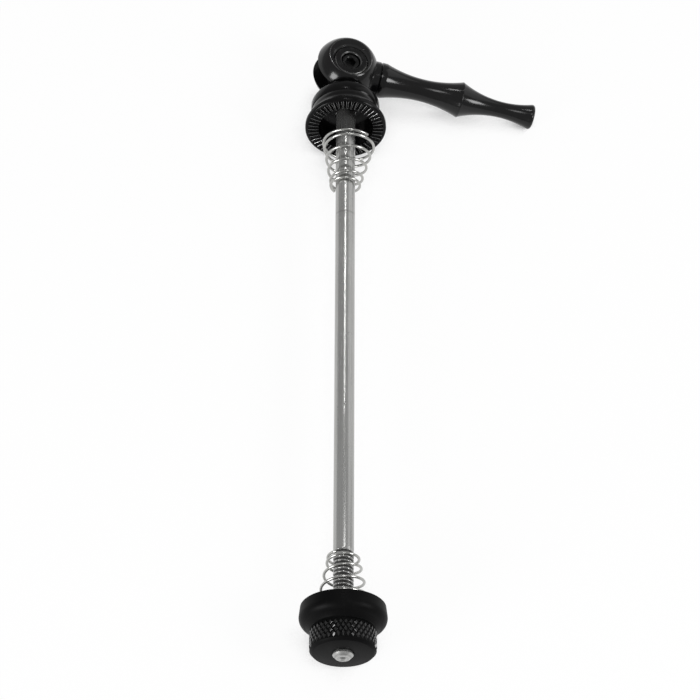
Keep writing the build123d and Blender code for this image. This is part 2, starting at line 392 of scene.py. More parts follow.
@dataclass(frozen=True)
class DrawnWire(Finish):
    """Bright drawn spring wire."""

    mark_scale: Triple = (3600.0, 3600.0, 3600.0)
    tarnish_scale: Triple = (520.0, 520.0, 520.0)
    mark_rough: float = 0.14

    def shade(self, graph: Graph) -> dict[str, NodeValue]:
        """Gives drawing marks and slight tarnish.

        Args:
            graph: The material's tree.

        Returns:
            Socket names to values.
        """
        marks = graph.noise(self.mark_scale, detail=3.0)
        tarnish = graph.noise(self.tarnish_scale, detail=4.0)
        return {
            "Base Color": graph.blend(tarnish, self.dark, self.light),
            "Roughness": self.roughness + (marks - 0.5) * self.mark_rough,
            "Normal": graph.bump(marks, self.bump_strength, self.bump_depth),
        }


@dataclass(frozen=True)
class Finishes:
    """The materials of the whole skewer."""

    black: bpy.types.Material
    deep: bpy.types.Material
    satin: bpy.types.Material
    machined: bpy.types.Material
    black_steel: bpy.types.Material
    tooth_wear_and_highlight: bpy.types.Material
    worn_edge_and_highlight: bpy.types.Material
    rod: bpy.types.Material
    wire: bpy.types.Material

    @classmethod
    def make(cls, layout: Layout) -> Finishes:
        """Makes every material once.

        Args:
            layout: Where the pieces lie.

        Returns:
            The set of materials.
        """
        dyed = ((0.0022, 0.0022, 0.0023), (0.005, 0.005, 0.0052))
        deep = ((0.0016, 0.0016, 0.0017), (0.004, 0.004, 0.0041))
        cut = ((0.003, 0.003, 0.0031), (0.007, 0.007, 0.0072))
        blacked = ((0.004, 0.004, 0.0042), (0.012, 0.012, 0.0124))
        # bright: the teeth's rounded edges, rubbed metal that is partly a painted highlight.
        bright = ((0.4, 0.4, 0.4), (0.75, 0.75, 0.74))
        # rubbed: the barrel's rims and the ball's flat edges, rubbed metal that is partly a painted
        # highlight.
        rubbed = ((0.1, 0.1, 0.1), (0.3, 0.3, 0.29))
        ground = ((0.29, 0.29, 0.283), (0.47, 0.47, 0.46))
        drawn = ((0.36, 0.36, 0.35), (0.52, 0.52, 0.5))
        axis = (layout.pivot.x * MM, layout.pivot.z * MM)
        finishes = {
            "black": BlackAnodised("black_anodised", *dyed, roughness=0.16, specular=0.32),
            "deep": BlackAnodised("black_deep", *deep, roughness=0.17, specular=0.12),
            "satin": BlackAnodised("black_satin", *deep, roughness=0.44, specular=0.055),
            "machined": BlackAnodised("black_machined", *cut, roughness=0.14),
            "black_steel": BlackedSteel("blacked_steel", *blacked, roughness=0.24, specular=0.2),
            "tooth_wear_and_highlight": BlackedSteel("tooth_wear_and_highlight", *bright, roughness=0.25, metallic=0.9),
            "worn_edge_and_highlight": BlackedSteel("rubbed_edge_and_highlight", *rubbed, roughness=0.22, metallic=0.9),
            "rod": GroundSteel("ground_steel", *ground, roughness=0.26, metallic=0.85, axis=axis),
            "wire": DrawnWire("drawn_wire", *drawn, roughness=0.18, metallic=1.0),
        }
        return cls(**{part: finish.material() for part, finish in finishes.items()})


@dataclass(frozen=True)
class Corner:
    """A corner of a turned profile: radius, place along the axis and rounding, in millimetres."""

    radius: float
    along: float
    rounding: float = 0.0


def held(value: float) -> float:
    """The value held between 0 and 1."""
    return min(max(value, 0.0), 1.0)


def spaced(start: float, end: float, steps: int) -> list[float]:
    """Even values from start to end, both included."""
    return [start + (end - start) * step / steps for step in range(steps + 1)]


def loop(radius: float, along: float, steps: int, phase: float = 0.0) -> list[Triple]:
    """Points around the Z axis, or one point on it where the radius is 0."""
    angles = [phase + FULL_TURN * step / steps for step in range(steps if radius > 0.0 else 1)]
    return [(radius * math.cos(a), radius * math.sin(a), along) for a in angles]


def mirrored(half: Sequence[Point], *middle: Point) -> list[Point]:
    """A profile, the points in its middle and its mirror image along the axis."""
    return [*half, *middle, *((radius, -along) for radius, along in reversed(half))]


def rounded(corners: Sequence[Corner], steps: int = 5) -> list[Point]:
    """Rounds the corners of an open profile.

    Args:
        corners: The corners in order; the two ends stay sharp.
        steps: Segments of each rounding.

    Returns:
        Points of the profile.
    """
    side_share = 0.49
    spots = [Vector((corner.radius, corner.along)) for corner in corners]
    points: list[Point] = []
    for index, (corner, here) in enumerate(zip(corners, spots)):
        if corner.rounding == 0.0 or index in (0, len(corners) - 1):
            points.append((here.x, here.y))
            continue
        before, after = spots[index - 1] - here, spots[index + 1] - here
        reach = min(corner.rounding, before.length * side_share, after.length * side_share)
        start = here + before.normalized() * reach
        end = here + after.normalized() * reach
        for share in spaced(0.0, 1.0, steps):
            bent = start * (1 - share) ** 2 + here * (2 * share * (1 - share)) + end * share**2
            points.append((bent.x, bent.y))
    return points


def arc(start: Point, middle: Point, end: Point, steps: int) -> list[Point]:
    """Points on the circle through three points, both ends included.

    Args:
        start: First point.
        middle: Point between the ends.
        end: Last point.
        steps: Segments of the arc.

    Returns:
        The points.
    """
    (ax, ay), (bx, by), (cx, cy) = start, middle, end
    scale = 2 * (ax * (by - cy) + bx * (cy - ay) + cx * (ay - by))
    squares = [ax * ax + ay * ay, bx * bx + by * by, cx * cx + cy * cy]
    ux = (squares[0] * (by - cy) + squares[1] * (cy - ay) + squares[2] * (ay - by)) / scale
    uy = (squares[0] * (cx - bx) + squares[1] * (ax - cx) + squares[2] * (bx - ax)) / scale
    radius = math.hypot(ax - ux, ay - uy)
    first = math.atan2(ay - uy, ax - ux)
    turn, halfway = (
        math.remainder(math.atan2(y - uy, x - ux) - first, FULL_TURN) for x, y in ((cx, cy), (bx, by))
    )
    if turn * halfway < 0:
        turn -= math.copysign(FULL_TURN, turn)
    angles = spaced(first, first + turn, steps)
    return [(ux + radius * math.cos(a), uy + radius * math.sin(a)) for a in angles]


def placed(origin: Vector, across: Vector, axis: Vector) -> Matrix:
    """Matrix from a part's own millimetres, with its axis along Z, to the frame.

    Args:
        origin: The part's origin in millimetres.
        across: Its X direction.
        axis: Its Z direction.

    Returns:
        The placing matrix.
    """
    along = axis.normalized()
    side = (across - along * across.dot(along)).normalized()
    turn = Matrix((side, along.cross(side), along)).transposed()
    return Matrix.Scale(MM, 4) @ Matrix.Translation(origin) @ turn.to_4x4()


class Turning:
    """Makes meshes of revolution and other small solids."""

    @staticmethod
    def shell(loops: Sequence[Sequence[Triple]], closed: bool = False) -> bmesh.types.BMesh:
        """Joins loops of points into a shell.

        Args:
            loops: Loops of as many points each, apart from poles of one point.
            closed: Whether the last loop joins the first; otherwise the two ends get flat faces.

        Returns:
            The mesh, whose faces point outwards.
        """
        mesh = bmesh.new()
        rings = [[mesh.verts.new(point) for point in points] for points in loops]
        pairs = list(zip(rings, rings[1:]))
        if closed:
            pairs.append((rings[-1], rings[0]))
        segments = max(len(ring) for ring in rings)
        for lower, upper in pairs:
            for step in range(segments):
                after = (step + 1) % segments
                corners = [lower[step % len(lower)], lower[after % len(lower)]]
                corners += [upper[after % len(upper)], upper[step % len(upper)]]
                mesh.faces.new(list(dict.fromkeys(corners)))
        for end in (rings[0], rings[-1]):
            if not closed and len(end) > 1:
                mesh.faces.new(end)
        bmesh.ops.recalc_face_normals(mesh, faces=mesh.faces[:])
        return mesh

    @classmethod
    def lathe(cls, profile: Sequence[Point], segments: int = 128, closed: bool = False) -> bmesh.types.BMesh:
        """Turns a profile of radius and place along Z about Z, as an open or a closed shell."""
        return cls.shell([loop(radius, along, segments) for radius, along in profile], closed)

    @staticmethod
    def rub(mesh: bmesh.types.BMesh, rubbed: Callable[[float, float], bool]) -> None:
        """Gives the second material, bright metal that is partly a painted highlight, to rubbed faces.

        Args:
            mesh: The turned mesh.
            rubbed: Tells from the radius and the height of a face's middle whether it is rubbed.
        """
        for face in mesh.faces:
            middle = face.calc_center_median()
            face.material_index = int(rubbed(math.hypot(middle.x, middle.y), abs(middle.z)))

    @staticmethod
    def smooth(mesh: bpy.types.Mesh, sharp: float) -> None:
        """Shades a mesh smoothly, apart from edges of a larger angle, in degrees."""
        mesh.shade_smooth()
        mesh.set_sharp_from_angle(angle=math.radians(sharp))

    @classmethod
    def piece(
        cls,
        name: str,
        mesh: bmesh.types.BMesh,
        matrix: Matrix,
        *materials: bpy.types.Material,
        sharp: float = SHARP,
    ) -> bpy.types.Object:
        """Puts a mesh into the scene at its place.

        Args:
            name: Name of the new piece.
            mesh: The mesh in the part's own millimetres, which is freed.
            matrix: Its placing matrix.
            materials: Its materials.
            sharp: Edges of a larger angle, in degrees, stay sharp.

        Returns:
            The new object, at the origin and unturned.
        """
        data = bpy.data.meshes.new(name)
        mesh.transform(matrix)
        mesh.to_mesh(data)
        mesh.free()
        for material in materials:
            data.materials.append(material)
        cls.smooth(data, sharp)
        thing = bpy.data.objects.new(name, data)
        bpy.context.scene.collection.objects.link(thing)
        return thing

    @classmethod
    def settle(cls, thing: bpy.types.Object, sharp: float = SHARP) -> None:
        """Turns an object's modifiers into its plain mesh.

        Args:
            thing: The object with live modifiers.
            sharp: Edges of a larger angle, in degrees, stay sharp.
        """
        graph = bpy.context.evaluated_depsgraph_get()
        plain = bpy.data.meshes.new_from_object(thing.evaluated_get(graph), depsgraph=graph)
        thing.modifiers.clear()
        thing.data = plain
        cls.smooth(plain, sharp)

    @classmethod
    def cut(cls, thing: bpy.types.Object, operation: str, *tools: bpy.types.Object) -> bpy.types.Object:
        """Joins or cuts an object with others, which are then removed.

        Args:
            thing: The object that stays.
            operation: UNION or DIFFERENCE.
            tools: The objects to join or cut with.

        Returns:
            The same object.
        """
        for tool in tools:
            modifier = thing.modifiers.new("cut", "BOOLEAN")
            modifier.operation = operation
            modifier.solver = "EXACT"
            modifier.material_mode = "TRANSFER"
            modifier.object = tool
        cls.settle(thing)
        for tool in tools:
            bpy.data.objects.remove(tool)
        return thing


class Pattern:
    """A geometry node tree with named inputs."""

    def __init__(self, name: str) -> None:
        """Makes the tree with its input and its output socket.

        Args:
            name: Name of the tree.
        """
        self.tree = bpy.data.node_groups.new(name, "GeometryNodeTree")
        self.graph = Graph(self.tree)
        self.tree.interface.new_socket("Geometry", in_out="OUTPUT", socket_type="NodeSocketGeometry")
        self.inputs = self.graph.node("NodeGroupInput")
        self.values: dict[str, object] = {}
        self.shapes: list[bpy.types.Object] = []

    def number(self, name: str, value: float) -> Socket:
        """Adds a named number."""
        return self._input(name, "NodeSocketFloat", value)

    def count(self, name: str, value: int) -> Socket:
        """Adds a named whole number."""
        return self._input(name, "NodeSocketInt", value)

    def shape(self, name: str, mesh: bmesh.types.BMesh, material: bpy.types.Material) -> Socket:
        """Adds a named object for the time of the build.

        Args:
            name: Its name.
            mesh: Its mesh, in millimetres.
            material: Its material.

        Returns:
            Its geometry.
        """
        shape = Turning.piece(name, mesh, Matrix(), material)
        self.shapes.append(shape)
        values = {"Object": self._input(name, "NodeSocketObject", shape)}
        return self.graph.add("GeometryNodeObjectInfo", None, values, "Geometry")

    def _input(self, name: str, kind: str, value: object) -> Socket:
        """Adds a named input.

        Args:
            name: Its name.
            kind: Its socket type.
            value: The value that the modifier gets.

        Returns:
            The input inside the tree.
        """
        socket = self.tree.interface.new_socket(name, in_out="INPUT", socket_type=kind)
        self.values[socket.identifier] = value
        return Socket(self.graph, self.inputs.outputs[name])

    def around(self, shape: Socket, count: Socket, turn: Socket, along: NodeValue = 0.0) -> Socket:
        """Sets copies of a shape around the Z axis.

        Args:
            shape: The shape.
            count: Number of the copies.
            turn: Each one's angle, in radians.
            along: Each one's place along the axis.

        Returns:
            The copies.
        """
        add = self.graph.add
        spots = add("GeometryNodeMeshLine", None, {"Count": count, "Offset": (0.0, 0.0, 0.0)})
        offset = add("ShaderNodeCombineXYZ", None, {"Z": along})
        moved = add("GeometryNodeSetPosition", None, {"Geometry": spots, "Offset": offset})
        angle = add("ShaderNodeCombineXYZ", None, {"Z": turn})
        values = {"Points": moved, "Instance": shape, "Rotation": angle}
        return add("GeometryNodeInstanceOnPoints", None, values)

    def build(
        self, name: str, geometry: Socket, material: bpy.types.Material, matrix: Matrix, sharp: float
    ) -> bpy.types.Object:
        """Ends the tree and turns its result into a plain mesh at its place.

        Args:
            name: Name of the new piece.
            geometry: What the tree gives.
            material: The piece's material.
            matrix: Its placing matrix.
            sharp: Edges of a larger angle, in degrees, stay sharp.

        Returns:
            The new piece.
        """
        real = self.graph.add("GeometryNodeRealizeInstances", None, {"Geometry": geometry})
        done = self.graph.add("GeometryNodeSetMaterial", None, {"Geometry": real, "Material": material})
        self.graph.node("NodeGroupOutput", None, {0: done})
        thing = bpy.data.objects.new(name, bpy.data.meshes.new(name))
        bpy.context.scene.collection.objects.link(thing)
        modifier = thing.modifiers.new("pattern", "NODES")
        modifier.node_group = self.tree
        for identifier, value in self.values.items():
            modifier[identifier] = value
        Turning.settle(thing, sharp)
        thing.data.transform(matrix)
        for shape in self.shapes:
            bpy.data.objects.remove(shape)
        return thing


def keep(thing: bpy.types.Object, body: str, slot: Slot, *nodes: str) -> None:
    """Makes a piece ride on its body and stand for its solids.

    Args:
        thing: The finished piece.
        body: The body that carries it.
        slot: The record's slot of its finish; not used.
        nodes: The solids that it stands for.
    """
    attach(thing, body)
    if nodes:
        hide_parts(*nodes)
    LOG.info("%s: %d faces on %s", thing.name, len(thing.data.polygons), body)


@dataclass(frozen=True)
class Layout:
    """Where the pieces lie, in millimetres and degrees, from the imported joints."""

    pivot: Vector
    swing: Vector
    handle: Vector
    nut_face: Vector
    washer_face: Vector
    washer_axis: Vector

    lean: float = 6.7
    washer_at: float = 17.95
    washer_tilt: float = 10.0
    handle_offset: float = 0.6
    washer_radius: float = 10.55
    washer_rim: float = 1.3

    @classmethod
    def of(cls, joints: Sequence[dict]) -> Layout:
        """Reads the joints.

        Args:
            joints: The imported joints.

        Returns:
            The layout.
        """
        found = {joint["name"]: joint for joint in joints}
        pivot = Vector(found["lever_swing"]["pos_m"]) / MM
        swing = Vector(found["lever_swing"]["axis"]).normalized()
        up_rod = Vector((0.0, 1.0, 0.0))
        lean = math.radians(cls.lean)
        tilt = math.radians(cls.washer_tilt)
        height = cls.washer_radius * math.cos(tilt) + cls.washer_rim * math.sin(tilt)
        return cls(
            pivot=pivot,
            swing=swing,
            handle=up_rod.cross(swing).normalized() * math.cos(lean) - up_rod * math.sin(lean),
            nut_face=Vector(found["nut_turn"]["pos_m"]) / MM,
            washer_face=Vector((pivot.x, pivot.y - cls.washer_at, height)),
            washer_axis=Vector((0.0, -math.cos(tilt), math.sin(tilt))),
        )

    @property
    def across(self) -> Vector:
        """Sideways across the rod."""
        return Vector((1.0, 0.0, 0.0))

    @property
    def down_rod(self) -> Vector:
        """Along the rod, from the lever to the nut."""
        return Vector((0.0, -1.0, 0.0))

    @property
    def on_lever(self) -> Matrix:
        """Placing matrix at the pivot, with the swing's axis along Z."""
        return placed(self.pivot, self.handle, self.swing)

    @property
    def on_handle(self) -> Matrix:
        """Placing matrix of the handle, whose axis starts a little off the pivot."""
        return placed(self.pivot - self.down_rod * self.handle_offset, self.swing, self.handle)


@dataclass
class Assembly:
    """A sub-assembly, with the layout and the materials; its sizes are in millimetres and degrees."""

    layout: Layout
    finishes: Finishes

    def build(self) -> None:
        """Makes the pieces; each sub-assembly has its own."""
        raise NotImplementedError


@dataclass
class Rod(Assembly):
    """The rod with its rolled thread and centred tip."""

    radius: float = 2.5
    head: float = 3.6
    head_edge: float = 0.2
    length: float = 170.3
    plain_rings: Triple = (20.0, 60.0, 100.0)
    tip: float = 0.9
    tip_edge: Point = (0.12, 0.1)
    thread_length: float = 28.5
    thread_depth: float = 0.42
    thread_flank: Point = (0.2, 0.8)
    thread_runout: float = 1.0
    pitch: float = 1.04
    rings_per_pitch: int = 14
    plain_end: float = 0.6
    centre_radius: float = 1.0
    centre_depth: float = 0.9
    segments: int = 72

    @property
    def thread_start(self) -> float:
        """Where the thread starts along the rod."""
        return self.length - self.thread_length

    def thread(self, along: float, angle: float) -> float:
        """Depth of the thread below the rod's surface.

        Args:
            along: Place along the rod.
            angle: Place around it, in radians.

        Returns:
            The depth in millimetres.
        """
        left = self.length - self.tip - self.plain_end - along
        grown = held((along - self.thread_start) / self.thread_runout) * held(left / self.thread_runout)
        phase = (along / self.pitch + angle / FULL_TURN) % 1.0
        groove = 1.0 - abs(2 * phase - 1.0)
        foot, top = self.thread_flank
        flank = held((groove - foot) / (top - foot))
        return self.thread_depth * grown * flank * flank * (3.0 - 2.0 * flank)

    def build(self) -> None:
        """Makes the rod as one turned mesh and cuts the thread into its rings."""
        start, end = self.thread_start, self.length - self.tip
        profile = [(0.0, -self.head), (self.radius - self.head_edge, -self.head)]
        profile += [(self.radius, along) for along in (self.head_edge - self.head, *self.plain_rings)]
        count = round((end - start) / self.pitch * self.rings_per_pitch)
        profile += [(self.radius, along) for along in spaced(start, end, count)]
        face = self.radius - self.tip
        edge_out, edge_back = self.tip_edge
        profile += [(face + edge_out, self.length - edge_back), (face - edge_back, self.length)]
        profile += [(self.centre_radius, self.length), (0.0, self.length - self.centre_depth)]
        mesh = Turning.lathe(profile, self.segments)
        for vert in mesh.verts:
            radius = math.hypot(vert.co.x, vert.co.y)
            if vert.co.z > start and radius > face:
                depth = self.thread(vert.co.z, math.atan2(vert.co.y, vert.co.x))
                vert.co.xy *= max(min(radius, self.radius - depth), face) / radius
        place = placed(self.layout.pivot, self.layout.across, self.layout.down_rod)
        rod = Turning.piece("threaded_rod", mesh, place, self.finishes.rod, sharp=38.0)
        keep(rod, "rod", Slot.ROD, "rod")


@dataclass
class PivotBarrel(Assembly):
    """The barrel across the ball with its lock screw."""

    radius: float = 4.5
    length: float = 12.2
    edge: float = 0.35
    edge_soft: float = 0.1
    unrubbed: float = 0.02
    hole_edge: float = 0.3
    hole_soft: float = 0.08
    gap: float = 0.03
    screw_radius: float = 2.5
    screw_start: float = 2.53
    screw_length: float = 3.0
    screw_segments: int = 96
    dish: Point = (0.45, 0.12)
    dish_soft: float = 0.06
    dish_depth: float = 0.22
    socket: float = 2.5
    socket_sides: int = 6
    socket_depth: float = 1.6
    socket_turn: float = 12.0

    def build(self) -> None:
        """Makes the barrel, its rims of bright metal, partly rubbed wear and partly a painted highlight, and
        the lock screw.
        """
        half = self.length / 2
        hole = self.screw_radius + self.gap
        corners = [
            Corner(0.0, -half),
            Corner(self.radius - self.edge, -half, self.edge_soft),
            Corner(self.radius, self.edge - half, self.edge_soft),
            Corner(self.radius, half - self.edge, self.edge_soft),
            Corner(self.radius - self.edge, half, self.edge_soft),
            Corner(hole + self.hole_edge, half, self.hole_soft),
            Corner(hole, half - self.hole_edge, self.hole_soft),
            Corner(hole, self.screw_start),
            Corner(0.0, self.screw_start),
        ]

        def rubbed(out: float, height: float) -> bool:
            """Whether a face lies on the barrel's rim or on the edge of its hole."""
            rim = self.radius - self.edge < out < self.radius - self.unrubbed
            return half - self.edge < height and (rim or hole < out < hole + self.hole_edge)

        mesh = Turning.lathe(rounded(corners))
        # The rim and the hole's edge get bright metal, partly rubbed wear and partly a painted highlight.
        Turning.rub(mesh, rubbed)
        steel, bright = self.finishes.black_steel, self.finishes.worn_edge_and_highlight
        barrel = Turning.piece("barrel", mesh, self.layout.on_lever, steel, bright)
        keep(barrel, "rod", Slot.BLACK_STEEL, "pivot_barrel")
        keep(self.screw(), "rod", Slot.BLACK_STEEL, "barrel_lock_screw")

    def screw(self) -> bpy.types.Object:
        """Makes the lock screw with its hexagon socket.

        Returns:
            The screw.
        """
        top = self.screw_start + self.screw_length
        dish_out, dish_in = (self.socket / 2 + reach for reach in self.dish)
        corners = [
            Corner(0.0, self.screw_start),
            Corner(self.screw_radius, self.screw_start),
            Corner(self.screw_radius, top - self.edge, self.edge_soft),
            Corner(self.screw_radius - self.edge, top, self.edge_soft),
            Corner(dish_out, top, self.dish_soft),
            Corner(dish_in, top - self.dish_depth),
            Corner(0.0, top - self.dish_depth),
        ]
        place, steel = self.layout.on_lever, self.finishes.black_steel
        mesh = Turning.lathe(rounded(corners), self.screw_segments)
        screw = Turning.piece("lock_screw", mesh, place, steel)
        corner = self.socket / 2 / math.cos(math.pi / self.socket_sides)
        turn = math.radians(self.socket_turn)
        heights = (top - self.socket_depth, top + CUTTER_ROOM)
        key = Turning.shell([loop(corner, height, self.socket_sides, turn) for height in heights])
        return Turning.cut(screw, "DIFFERENCE", Turning.piece("key", key, place, steel))


@dataclass
class CamBall(Assembly):
    """The lever's ball: flats, eccentric bore, slot and boss."""

    radius: float = 8.6
    flat: float = 6.3
    flat_edge: Point = (0.25, 0.05)
    flat_drop: float = 0.06
    side_steps: int = 40
    segments: int = 160
    offset: float = 1.1
    angle: float = 104.0
    bore: float = 4.55
    bore_edge: float = 0.45
    slot: float = 2.8
    slot_wall: float = 4.8
    boss: float = 4.65
    boss_start: float = 5.2
    flare: tuple[Point, Point, Point] = ((0.9, 5.6), (0.2, 6.5), (0.0, 7.6))
    flare_steps: int = 8
    boss_reach: float = 8.8
    seam: float = 0.25

    def build(self) -> None:
        """Makes the ball from turned solids that are joined and cut."""
        black, lever = self.finishes.black, self.layout.on_lever
        wide = 3 * self.radius
        sides = ((-wide, -wide), (self.slot_wall, -wide), (self.slot_wall, wide), (-wide, wide))
        slot = Turning.shell([[(x, y, z) for x, y in sides] for z in (-self.slot, self.slot)])
        ball = Turning.cut(self.body(), "UNION", self.neck())
        Turning.cut(
            ball,
            "DIFFERENCE",
            Turning.piece("slot", slot, lever, black),
            Turning.piece("bore", self.bore_cutter(wide), lever, self.finishes.machined),
        )
        keep(ball, "lever", Slot.BLACK_ALUMINIUM, "cam_ball")

    def body(self) -> bpy.types.Object:
        """Makes the ball between its two flats, whose edges are bright metal, partly rubbed wear and partly a
        painted highlight.

        Returns:
            The ball, off the pivot by the cam's offset.
        """
        rim = math.sqrt(self.radius**2 - self.flat**2)
        inner, outer = (rim - reach for reach in self.flat_edge)
        half_turn = math.asin(self.flat / self.radius)
        side = spaced(-half_turn, half_turn, self.side_steps)[1 : self.side_steps // 2]
        below = [(0.0, -self.flat), (inner, -self.flat), (outer, self.flat_drop - self.flat)]
        below += [(self.radius * math.cos(a), self.radius * math.sin(a)) for a in side]
        mesh = Turning.lathe(mirrored(below, (self.radius, 0.0)), self.segments)
        # The flats' edges get bright metal, partly rubbed wear and partly a painted highlight.
        Turning.rub(mesh, lambda out, height: inner < out < outer and height > self.flat - self.flat_drop)
        turn = math.radians(self.angle)
        shift = Vector((self.offset * math.cos(turn), self.offset * math.sin(turn), 0.0))
        place = self.layout.on_lever @ Matrix.Translation(shift)
        return Turning.piece("ball", mesh, place, self.finishes.black, self.finishes.worn_edge_and_highlight)

    def neck(self) -> bpy.types.Object:
        """Makes the boss that the handle sits on.

        Returns:
            The boss.
        """
        flare = arc(*((self.boss + out, along) for out, along in self.flare), self.flare_steps)
        outline = [(0.0, self.boss_start), (self.boss + self.flare[0][0], self.boss_start), *flare]
        outline += [(self.boss, self.boss_reach - self.seam), (self.boss - self.seam, self.boss_reach)]
        outline += [(0.0, self.boss_reach)]
        return Turning.piece("boss", Turning.lathe(outline), self.layout.on_handle, self.finishes.black)

    def bore_cutter(self, wide: float) -> bmesh.types.BMesh:
        """The barrel's bore with its chamfered edges.

        Args:
            wide: How far the cutter reaches to either side.

        Returns:
            The cutter's mesh.
        """
        edge, face = self.bore + self.bore_edge, -self.flat
        half = [(0.0, -wide), (edge + CUTTER_ROOM, -wide), (edge + CUTTER_ROOM, face - CUTTER_ROOM)]
        half += [(edge, face), (self.bore, face + self.bore_edge)]
        return Turning.lathe(mirrored(half))


@dataclass
class LeverHandle(Assembly):
    """The turned handle with its two waists."""

    root: float = 8.8
    root_radius: float = 4.65
    root_land: float = 0.5
    seam: float = 0.25
    soft: float = 0.03
    collar: float = 1.5
    waist: Point = (2.975, 20.6)
    ridge: Point = (4.75, 31.3)
    ridge_land: float = 0.12
    neck: Point = (2.15, 42.2)
    tip: Point = (3.3, 50.6)
    tip_land: float = 0.05
    tip_bend: Point = (0.12, 0.3)
    edge: float = 0.6
    reach: float = 51.5
    end_ring: float = 1.2
    waist_steps: int = 56
    edge_steps: int = 6

    def build(self) -> None:
        """Makes the handle as one turned mesh."""
        root, end = self.root_radius, self.reach
        ridge_out, ridge_along = self.ridge
        tip_out, tip_along = self.tip
        bend_in, bend_back = self.tip_bend
        outline = [(0.0, self.root), (root - self.seam, self.root)]
        outline += [(root - self.soft, self.root + self.seam), (root, self.root + self.root_land)]
        outline += arc((root, self.root + self.collar), self.waist, self.ridge, self.waist_steps)[:-1]
        outline += [(ridge_out - self.soft, ridge_along - self.ridge_land), self.ridge]
        outline += [(ridge_out - self.soft, ridge_along + self.ridge_land)]
        outline += arc(self.ridge, self.neck, self.tip, self.waist_steps)[1:]
        start = (tip_out, tip_along + self.tip_land)
        bend = (tip_out - bend_in, end - bend_back)
        outline += arc(start, bend, (tip_out - self.edge, end), self.edge_steps)
        outline += [(self.end_ring, end), (0.0, end)]
        place, black = self.layout.on_handle, self.finishes.black
        handle = Turning.piece("handle", Turning.lathe(outline), place, black)
        keep(handle, "lever", Slot.BLACK_ALUMINIUM, "lever_handle")


@dataclass
class ToothRing:
    """A ring of radial teeth on a clamping face, whose rounded edges are bright metal, partly rubbed wear and
    partly a painted highlight.
    """

    finishes: Finishes
    inner: float
    outer: float
    depth: float
    count: int = 45
    gap: float = 0.8
    edge: float = 0.22
    edge_steps: int = 4
    # Tilt of the edge faces that get the bright finish, rubbed metal that is partly a painted highlight.
    rubbed: Point = (0.4, 0.7)

    def tooth(self) -> bmesh.types.BMesh:
        """Makes one tooth with rounded edges, in millimetres, on the face's X axis.

        Returns:
            The tooth's mesh.
        """
        rows = []
        for radius in (self.inner, self.outer):
            pitch = math.pi * radius / self.count
            crest = pitch - self.gap / 2
            side = [Corner(pitch, -self.depth), Corner(crest, 0.0, self.edge), Corner(0.0, 0.0)]
            half = rounded(side, self.edge_steps)[:-1]
            section = [(-y, z) for y, z in half] + half[::-1]
            rows.append([(radius, y, z) for y, z in section])
        return Turning.shell(rows)

    def build(self, name: str, place: Matrix) -> bpy.types.Object:
        """Sets the teeth around the face.

        Args:
            name: Name of the ring.
            place: Placing matrix of the face, with its outward normal along Z.

        Returns:
            The ring of teeth.
        """
        pattern = Pattern(name)
        count = pattern.count("Teeth", self.count)
        shape = pattern.shape("Tooth", self.tooth(), self.finishes.satin)
        turn = (pattern.graph.add("GeometryNodeInputIndex") + 0.5) / count * FULL_TURN
        ring = pattern.build(name, pattern.around(shape, count, turn), self.finishes.satin, place, sharp=20.0)
        ring.data.materials.clear()
        for finish in (self.finishes.satin, self.finishes.tooth_wear_and_highlight):
            ring.data.materials.append(finish)
        centre, axis = place.translation, place.col[2].xyz.normalized()
        # The teeth's rounded edges get bright metal, partly rubbed wear and partly a painted highlight.
        low, high = self.rubbed
        for face in ring.data.polygons:
            around = axis.cross(face.center - centre).normalized()
            face.material_index = int(low < abs(face.normal.dot(around)) < high)
        return ring


